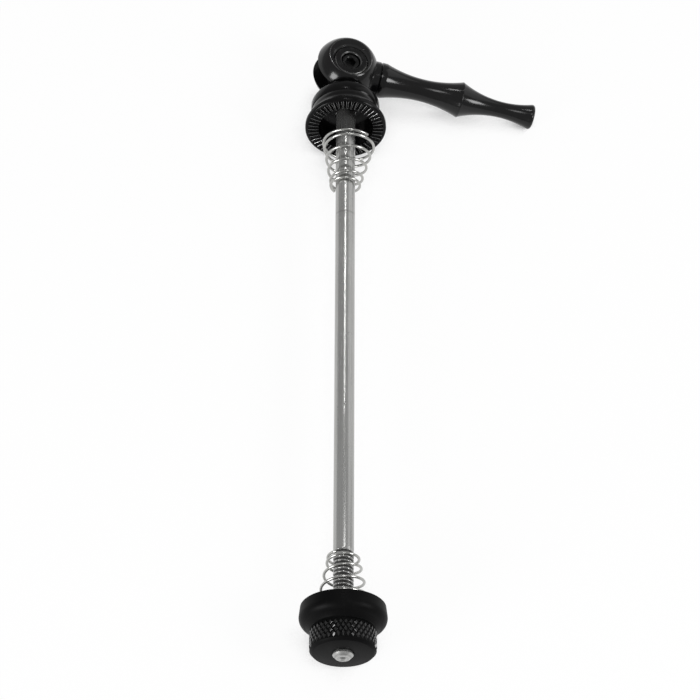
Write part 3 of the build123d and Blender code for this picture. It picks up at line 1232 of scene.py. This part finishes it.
@dataclass
class WasherSet(Assembly):
    """The cup and the toothed washer under it, measured back from the toothed face."""

    radius: float = 10.55
    rim: float = 1.6
    rim_edge: float = 0.3
    rim_soft: float = 0.06
    soft: float = 0.05
    fine: float = 0.04
    collar: float = 4.4
    cove_steps: int = 14
    width: float = 5.8
    bore: float = 4.4
    recess: float = 7.1
    recess_depth: float = 4.4
    tooth_depth: float = 0.5
    tooth_rim: float = 0.45
    cup: float = 8.95
    seam: float = 0.3
    shoulder: float = 8.4
    bulge: float = 0.68
    bulge_steps: int = 16
    lip: float = 7.0
    lip_land: float = 0.12
    lip_back: float = 10.6
    seat: float = 8.95
    seat_steps: int = 8
    ball_back: float = 17.1
    # The dark sheet in the bore, which stands in for shade: the rod's hole, its room, the thickness, the
    # reach into the wall and the segments.
    rod_hole: float = 2.64
    rod_room: float = 0.85
    shade_sheet_width: float = 0.5
    shade_sheet_bite: float = 0.1
    shade_sheet_steps: int = 72
    segments: int = 144

    def build(self) -> None:
        """Makes the cup, the washer, a dark sheet in its bore that stands in for shade, and its teeth."""
        place = placed(self.layout.washer_face, self.layout.across, self.layout.washer_axis)
        black = self.finishes.deep
        cup = Turning.piece("cup", Turning.lathe(self.cup_outline(), closed=True), place, black)
        keep(cup, "washer_set", Slot.BLACK_ALUMINIUM, "ball_cup")
        turned = Turning.lathe(self.washer_outline(), self.segments, closed=True)
        washer = Turning.piece("washer", turned, place, black)
        keep(washer, "washer_set", Slot.BLACK_ALUMINIUM, "toothed_washer")
        # A dark sheet in the bore that stands in for the shade there; it stands for no solid.
        shade_sheet = Turning.piece("washer_web", self.shade_sheet(), place, black)
        keep(shade_sheet, "washer_set", Slot.BLACK_ALUMINIUM)
        outer = self.radius - self.rim_edge - self.tooth_rim
        teeth = ToothRing(self.finishes, self.recess, outer, self.tooth_depth)
        keep(teeth.build("washer_teeth", place), "washer_set", Slot.BLACK_ALUMINIUM)

    def shade_sheet(self) -> bmesh.types.BMesh:
        """Thin dark sheet across the bore, standing in for shade and hiding the table seen through it; its
        long hole leaves room for the rod when the washer leans.

        Returns:
            The sheet's mesh, in the washer's own millimetres.
        """
        heights = (-self.recess_depth, -self.recess_depth - self.shade_sheet_width)
        top, low = (loop(self.bore + self.shade_sheet_bite, height, self.shade_sheet_steps) for height in heights)
        return Turning.shell([top, *map(self.long_hole, heights), low], closed=True)

    def long_hole(self, height: float) -> list[Triple]:
        """The rod's hole in the dark sheet at a height, stretched to one side."""
        hole = loop(self.rod_hole, height, self.shade_sheet_steps)
        return [(x, y + self.rod_room if y >= 0.0 else y, z) for x, y, z in hole]

    def cup_outline(self) -> list[Point]:
        """Profile of the cup.

        Returns:
            Its points, in a ring.
        """
        inner = math.asin(self.bore / self.seat)
        outer = math.acos((self.ball_back - self.lip_back) / self.seat)
        angles = spaced(inner, outer, self.seat_steps)
        points = [(self.seat * math.sin(a), self.seat * math.cos(a) - self.ball_back) for a in angles]
        middle = (self.lip + self.bulge * (self.cup - self.lip), -(self.lip_back + self.shoulder) / 2)
        points += [(self.lip - self.lip_land, -self.lip_back)]
        points += arc((self.lip, -self.lip_back), middle, (self.cup, -self.shoulder), self.bulge_steps)[1:]
        edge = -self.width - self.seam
        points += [(self.cup, edge - self.soft), (self.cup - self.soft, edge + self.soft)]
        points += [(self.cup - self.seam, -self.width), (self.bore, -self.width)]
        return points

    def washer_outline(self) -> list[Point]:
        """Profile of the washer, with its face lowered to the teeth's roots.

        Returns:
            Its points, in a ring.
        """
        rim_out = self.radius - self.rim_edge
        teeth = rim_out - self.tooth_rim
        root, back = -self.tooth_depth, self.rim_edge - self.rim
        edge = self.seam - self.width
        points = [(self.bore, -self.recess_depth), (self.bore, -self.width)]
        points += [(self.cup - self.seam, -self.width)]
        points += [(self.cup - self.soft, edge - self.soft), (self.cup, edge + self.soft)]
        points += self.cove((self.cup, -self.collar), (rim_out, -self.rim))
        points += [(self.radius - self.rim_soft, back - self.fine), (self.radius, back + self.soft)]
        points += [(self.radius, -self.rim_edge - self.fine)]
        points += [(self.radius - self.fine, self.soft - self.rim_edge)]
        points += [(rim_out + self.soft, -self.soft), (rim_out - self.fine, 0.0)]
        points += [(teeth + self.soft, 0.0), (teeth, -self.soft)]
        points += [(teeth, root), (self.recess, root), (self.recess, -self.recess_depth)]
        return points

    def cove(self, start: Point, end: Point) -> list[Point]:
        """An arc that leaves start along the axis and bends out to end.

        Args:
            start: First point.
            end: Last point.

        Returns:
            The points, both ends included.
        """
        out, along = end[0] - start[0], end[1] - start[1]
        radius = (out * out + along * along) / (2 * out)
        angles = spaced(0.0, math.atan2(along, radius - out), self.cove_steps)
        return [(start[0] + radius * (1 - math.cos(a)), start[1] + radius * math.sin(a)) for a in angles]


@dataclass
class Knurl:
    """Diamond knurling around a grip: staggered rows of small blunt pyramids."""

    finishes: Finishes
    radius: float
    height: float
    start: float
    length: float
    columns: int = 40
    rows: int = 4
    blunt: float = 0.5
    sunk: float = 0.04

    def pyramid(self) -> bmesh.types.BMesh:
        """Makes one blunt pyramid, in millimetres, standing along X.

        Returns:
            The pyramid's mesh.
        """
        across = math.pi * self.radius / self.columns
        along = self.length / (self.rows + 1)
        base = self.radius - self.height - self.sunk
        foot = ((across, 0.0), (0.0, along), (-across, 0.0), (0.0, -along))
        low = [(base, y, z) for y, z in foot]
        high = [(self.radius, y * self.blunt, z * self.blunt) for y, z in foot]
        return Turning.shell([low, high])

    def build(self, name: str, place: Matrix) -> bpy.types.Object:
        """Sets the pyramids around the grip.

        Args:
            name: Name of the knurling.
            place: Placing matrix of the grip, with its axis along Z.

        Returns:
            The knurling.
        """
        pattern = Pattern(name)
        columns = pattern.count("Columns", self.columns)
        rows = pattern.count("Rows", self.rows)
        start = pattern.number("Start", self.start)
        length = pattern.number("Length", self.length)
        shape = pattern.shape("Pyramid", self.pyramid(), self.finishes.machined)
        index = pattern.graph.add("GeometryNodeInputIndex")
        row = (index / columns).floor()
        turn = (index.remainder(columns) + row.remainder(2.0) * 0.5) / columns * FULL_TURN
        along = start + length * (row + 1.0) / (rows + 1.0)
        spread = pattern.around(shape, columns * rows, turn, along)
        return pattern.build(name, spread, self.finishes.machined, place, sharp=10.0)


@dataclass
class ClampNut(Assembly):
    """The clamp nut, measured from its toothed face towards the rod's tip."""

    length: float = 12.0
    face: float = 10.25
    flange: float = 10.55
    flange_at: float = 2.8
    flange_edge: float = 0.3
    flange_back: Point = (0.43, 1.35)
    flange_steps: int = 16
    shoulder: float = 9.0
    shoulder_at: float = 5.0
    grip: float = 8.0
    grip_at: float = 5.9
    grip_land: float = 0.2
    knurl_depth: float = 0.34
    knurl_start: float = 0.35
    knurl_end: float = 0.15
    chamfer: float = 0.7
    chamfer_soft: float = 0.06
    end_soft: float = 0.08
    recess: float = 7.5
    recess_depth: float = 2.4
    bore: float = 2.55
    tooth_depth: float = 0.5
    rim: float = 0.45
    edge: float = 0.1
    soft: float = 0.05
    fine: float = 0.02
    segments: int = 144

    def build(self) -> None:
        """Makes the nut's body, its teeth and its knurling."""
        layout, finishes = self.layout, self.finishes
        place = placed(layout.nut_face, layout.across, layout.down_rod)
        turned = Turning.lathe(self.outline(), self.segments, closed=True)
        nut = Turning.piece("nut", turned, place, finishes.satin)
        keep(nut, "clamp_nut", Slot.BLACK_ALUMINIUM, "clamp_nut")
        face = placed(layout.nut_face, layout.across, -layout.down_rod)
        teeth = ToothRing(finishes, self.recess, self.face - self.rim, self.tooth_depth)
        keep(teeth.build("nut_teeth", face), "clamp_nut", Slot.BLACK_ALUMINIUM)
        start = self.grip_at + self.knurl_start
        length = self.length - self.chamfer - self.knurl_end - start
        knurl = Knurl(finishes, self.grip, self.knurl_depth, start, length)
        keep(knurl.build("nut_knurl", place), "clamp_nut", Slot.BLACK_ALUMINIUM)

    def outline(self) -> list[Point]:
        """Profile of the nut, with its face lowered to the teeth's roots and its grip to the knurl's roots.

        Returns:
            Its points, in a ring.
        """
        end, grip, root = self.length, self.grip, self.tooth_depth
        low = grip - self.knurl_depth
        teeth = self.face - self.rim
        chamfer_at, chamfer_out = end - self.chamfer, grip - self.chamfer
        back_in, back_down = self.flange_back
        start, end_of_back = (self.flange, self.flange_at), (self.shoulder, self.shoulder_at)
        back = (self.flange - back_in, self.flange_at + back_down)
        return [
            (self.bore, end),
            (self.bore, self.recess_depth),
            (self.recess, self.recess_depth),
            (self.recess, root),
            (teeth, root),
            (teeth, self.soft),
            (teeth + self.soft, 0.0),
            (self.face - self.edge - self.fine, 0.0),
            (self.face - self.fine, self.edge),
            (self.flange - self.fine, self.flange_at - self.flange_edge),
            *arc(start, back, end_of_back, self.flange_steps),
            (grip + self.edge, self.grip_at - self.edge),
            (grip, self.grip_at),
            (grip, self.grip_at + self.grip_land),
            (low, self.grip_at + self.knurl_start),
            (low, chamfer_at - self.knurl_end),
            (grip - self.chamfer_soft, chamfer_at),
            (chamfer_out + self.chamfer_soft, end - self.chamfer_soft),
            (chamfer_out - self.end_soft, end),
            (self.bore + self.edge + self.fine, end),
            (self.bore + self.fine, end - self.edge),
        ]


@dataclass
class ConicalSpring:
    """A conical wire spring, closed at both ends."""

    name: str
    origin: Vector
    start: Vector
    way: Vector
    height: float
    turns: float
    wire: float = 0.35
    wire_sides: int = 16
    large: float = 6.55
    small: float = 3.75
    closed: float = 0.9
    gap: float = 0.15
    ease: float = 0.2
    per_turn: int = 56

    def build(self, finishes: Finishes) -> None:
        """Bends the wire along its coils.

        Args:
            finishes: The materials.
        """
        pattern = Pattern(self.name)
        add = pattern.graph.add
        turns = pattern.number("Turns", self.turns)
        height = pattern.number("Height", self.height)
        large = pattern.number("Large radius", self.large)
        small = pattern.number("Small radius", self.small)
        wire = pattern.number("Wire radius", self.wire)
        closed = pattern.number("Closed turns", self.closed)
        line = add("GeometryNodeCurvePrimitiveLine")
        count = round(self.turns * self.per_turn) + 1
        spots = add("GeometryNodeResampleCurve", {"mode": "COUNT"}, {"Curve": line, "Count": count})
        turn = add("GeometryNodeSplineParameter", output="Factor") * turns
        open_turns = turns - closed * 2.0
        opened = ((turn - closed) / open_turns).clamped()
        eased = opened * opened * (3.0 - opened * 2.0)
        blend = opened + (eased - opened) * self.ease
        rise = closed * (2 * self.wire + self.gap)
        share = (turn - opened * open_turns) / (closed * 2.0)
        along = rise * 2.0 * share + (height - rise * 2.0) * blend
        radius = large + (small - large) * opened
        angle = turn * FULL_TURN
        place = {"X": radius * angle.cosine(), "Y": radius * angle.sine(), "Z": along}
        spot = add("ShaderNodeCombineXYZ", None, place)
        bent = add("GeometryNodeSetPosition", None, {"Geometry": spots, "Position": spot})
        section = {"Resolution": self.wire_sides, "Radius": wire}
        circle = add("GeometryNodeCurvePrimitiveCircle", None, section)
        sweep = {"Curve": bent, "Profile Curve": circle, "Fill Caps": True}
        tube = add("GeometryNodeCurveToMesh", None, sweep)
        matrix = placed(self.origin, self.start, self.way)
        made = pattern.build(self.name + "_wire", tube, finishes.wire, matrix, sharp=50.0)
        keep(made, self.name, Slot.SPRING, self.name)


@dataclass
class Springs(Assembly):
    """The two springs and where they lie."""

    stand_off: float = 4.15
    sway: float = 0.9
    drop: float = 0.65
    lever_height: float = 13.6
    lever_turns: float = 5.5
    lever_end: float = 47.0
    nut_height: float = 15.2
    nut_turns: float = 5.8
    nut_end: float = 52.0
    nut_depth: float = 1.8

    def build(self) -> None:
        """Makes both springs."""
        layout, down_rod = self.layout, self.layout.down_rod
        sway = Vector((self.sway, 0.0, 0.0))
        drop = Vector((0.0, 0.0, self.drop))
        end = math.radians(self.lever_end)
        lean = -math.cos(end) * self.sway / self.lever_height
        ConicalSpring(
            name="lever_spring",
            origin=layout.pivot + down_rod * (layout.washer_at + self.stand_off) - drop + sway,
            start=Vector((math.cos(end), lean, math.sin(end))),
            way=down_rod * self.lever_height - sway,
            height=self.lever_height,
            turns=self.lever_turns,
        ).build(self.finishes)
        end = math.radians(self.nut_end)
        ConicalSpring(
            name="nut_spring",
            origin=layout.nut_face + down_rod * self.nut_depth,
            start=Vector((math.cos(end), 0.0, math.sin(end))),
            way=-down_rod,
            height=self.nut_height,
            turns=self.nut_turns,
        ).build(self.finishes)


@dataclass(frozen=True)
class Lamp:
    """A soft lamp: its width and height and its place in metres, and its power in watts."""

    name: str
    size: Point
    power: float
    place: Triple

    def build(self, target: Vector) -> None:
        """Makes the lamp.

        Args:
            target: Where it points.
        """
        light = bpy.data.lights.new(self.name, "AREA")
        light.shape = "RECTANGLE"
        light.size, light.size_y = self.size
        light.energy = self.power
        lamp = bpy.data.objects.new(self.name, light)
        lamp.location = self.place
        lamp.rotation_euler = (target - Vector(self.place)).to_track_quat("-Z", "Y").to_euler()
        bpy.context.scene.collection.objects.link(lamp)


@dataclass
class Studio:
    """White table, soft lamps and the camera, in metres and degrees."""

    camera_at: Triple = (0.002676, -0.47154, 0.632494)
    camera_turn: Triple = (31.398, 0.0, 0.1948)
    camera_roll: float = -5.3
    lens: float = 153.0
    sensor: float = 36.0
    near: float = 0.01
    ambient: float = 0.45
    white: tuple[float, ...] = (1.0, 1.0, 1.0, 1.0)
    table_size: float = 12.0
    table_drop: float = 0.00002
    table_paint: tuple[float, ...] = (0.86, 0.86, 0.86, 1.0)
    glow: float = 0.93
    shadow_reach: float = 0.03
    shadow_band: Point = (0.2, 0.5)
    shadow_samples: int = 4
    target: Triple = (0.0, 0.0, 0.01)
    lamps: tuple[Lamp, ...] = (
        Lamp("strip", (0.12, 0.05), 0.5, (-0.06, 0.53, 0.785)),
        Lamp("front_left", (0.34, 0.34), 4.8, (-0.63, -0.54, 0.255)),
        Lamp("front_right", (0.28, 0.28), 3.4, (0.66, -0.26, 0.52)),
        Lamp("top", (0.2, 0.2), 0.8, (0.05, -0.05, 0.92)),
        Lamp("back_right", (0.7, 0.7), 0.9, (0.675, 0.47, 0.38)),
    )

    def build(self, layout: Layout) -> None:
        """Makes the table, the light and the camera.

        Args:
            layout: Where the pieces lie.
        """
        self.table()
        self.world()
        for lamp in self.lamps:
            lamp.build(Vector(self.target))
        self.camera(layout.pivot * MM)
        bpy.context.scene.view_settings.view_transform = "Standard"

    @staticmethod
    def seen(graph: Graph) -> Socket:
        """1 for rays that see the white table straight, in a reflection or through glass.

        Args:
            graph: The table's tree.

        Returns:
            The mask.
        """
        path = graph.node("ShaderNodeLightPath")
        kinds = ("Is Camera Ray", "Is Glossy Ray", "Is Transmission Ray")
        straight, glossy, through = (Socket(graph, path.outputs[kind]) for kind in kinds)
        return (straight + glossy + through).clamped()

    def table(self) -> None:
        """Makes the white table, which keeps the object's shadow close to it."""
        material = bpy.data.materials.new("white_table")
        material.use_nodes = True
        material.node_tree.nodes.clear()
        graph = Graph(material.node_tree)
        paint = graph.add("ShaderNodeBsdfDiffuse", None, {"Color": self.table_paint})
        glow = graph.add("ShaderNodeEmission", None, {"Color": self.white, "Strength": 1.0})
        settings, values = {"samples": self.shadow_samples}, {"Distance": self.shadow_reach}
        open_sky = graph.add("ShaderNodeAmbientOcclusion", settings, values, "AO").smooth(*self.shadow_band)
        share = self.seen(graph) * open_sky * self.glow
        surface = graph.add("ShaderNodeMixShader", None, {0: share, 1: paint, 2: glow})
        graph.node("ShaderNodeOutputMaterial", None, {"Surface": surface})
        mesh = bmesh.new()
        bmesh.ops.create_grid(mesh, x_segments=1, y_segments=1, size=self.table_size / 2)
        table = Turning.piece("table", mesh, Matrix.Translation((0.0, 0.0, -self.table_drop)), material)
        table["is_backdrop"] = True

    def world(self) -> None:
        """Makes the even grey room."""
        world = bpy.data.worlds.new("room")
        bpy.context.scene.world = world
        world.use_nodes = True
        world.node_tree.nodes.clear()
        graph = Graph(world.node_tree)
        room = graph.add("ShaderNodeBackground", None, {"Color": self.white, "Strength": self.ambient})
        graph.node("ShaderNodeOutputWorld", None, {"Surface": room})

    def camera(self, pivot: Vector) -> None:
        """Makes the camera, rolled a little about the rod.

        Args:
            pivot: The lever's pivot, which the camera is placed from.
        """
        lens = bpy.data.cameras.new("camera")
        lens.lens = self.lens
        lens.sensor_width = self.sensor
        lens.clip_start = self.near
        camera = bpy.data.objects.new("camera", lens)
        about_rod = Matrix.Rotation(math.radians(self.camera_roll), 3, "Y")
        turn = Euler([math.radians(angle) for angle in self.camera_turn]).to_matrix()
        camera.location = pivot + about_rod @ Vector(self.camera_at)
        camera.rotation_euler = (about_rod @ turn).to_euler()
        bpy.context.scene.collection.objects.link(camera)
        bpy.context.scene.camera = camera


def corners(box: tuple[Sequence[float], Sequence[float]]) -> list[list[float]]:
    """A box as plain lists of numbers."""
    return [[float(value) for value in corner] for corner in box]


def main() -> None:
    """Builds every sub-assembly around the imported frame."""
    logging.basicConfig(level=logging.INFO, format="%(name)s: %(message)s")
    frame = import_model()
    solids = corners(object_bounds())
    layout = Layout.of(frame["joints"])
    finishes = Finishes.make(layout)
    for assembly in (Rod, PivotBarrel, CamBall, LeverHandle, WasherSet, ClampNut, Springs):
        assembly(layout, finishes).build()
    Studio().build(layout)
    {"cad": solids, "visual": corners(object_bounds())}


if __name__ == "__main__":
    main()
